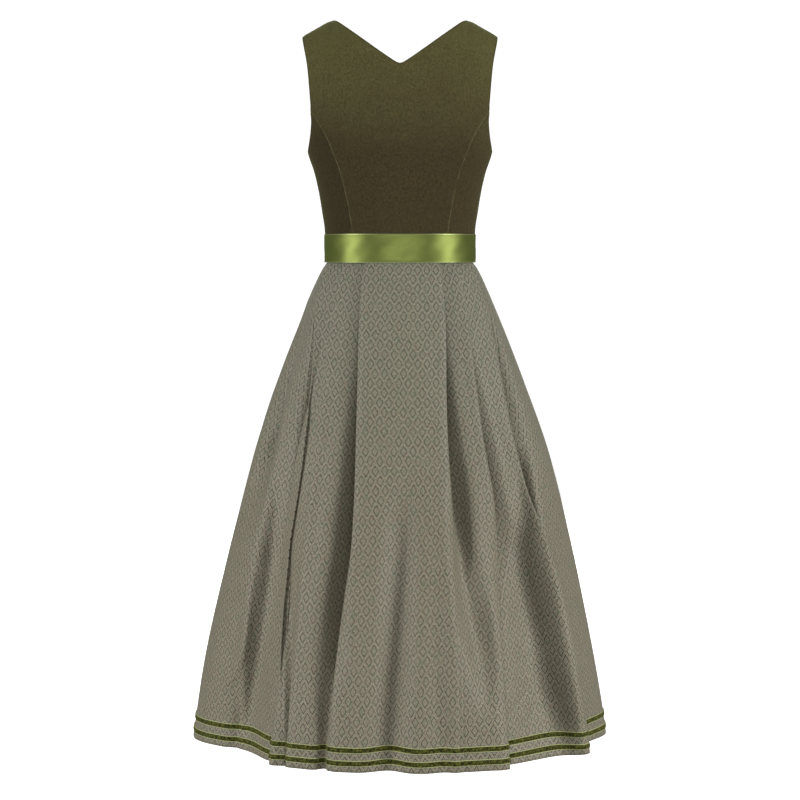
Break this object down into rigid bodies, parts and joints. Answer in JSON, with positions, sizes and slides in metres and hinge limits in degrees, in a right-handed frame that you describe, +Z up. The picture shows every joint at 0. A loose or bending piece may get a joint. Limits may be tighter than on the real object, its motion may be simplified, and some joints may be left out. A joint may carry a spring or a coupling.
{
  "type": "dirndl dress",
  "caption": "Sleeveless dirndl dress in its worn shape: velvet bodice, satin waist ribbon and a long pleated jacquard skirt trimmed with velvet ribbon above the hem.",
  "frame": {"origin": "midway between the two neck points, on the shoulder line, where the wearer's shoulders carry the dress", "axes": "+Z up along the body; the wearer faces +Y, so the dress's back faces -Y; +X is the wearer's right-hand side"},
  "size_m": [0.6963, 0.5693, 1.1973],
  "materials": {
    "velvet_bodice": "dark olive velvet",
    "jacquard": "grey-green woven jacquard with a small dark green diamond",
    "satin": "light green satin",
    "velvet_ribbon": "dark green velvet with light green edges"
  },
  "bodies": {
    "root": {"bodice_back": "velvet_bodice", "bodice_side_back_left": "velvet_bodice", "bodice_side_back_right": "velvet_bodice", "bodice_front_left": "velvet_bodice", "bodice_front_right": "velvet_bodice", "bodice_side_front_left": "velvet_bodice", "bodice_side_front_right": "velvet_bodice", "waist_ribbon": "satin", "skirt_back": "jacquard", "skirt_front": "jacquard", "hem_ribbon_upper": "velvet_ribbon", "hem_ribbon_lower": "velvet_ribbon"}
  },
  "joints": []
}
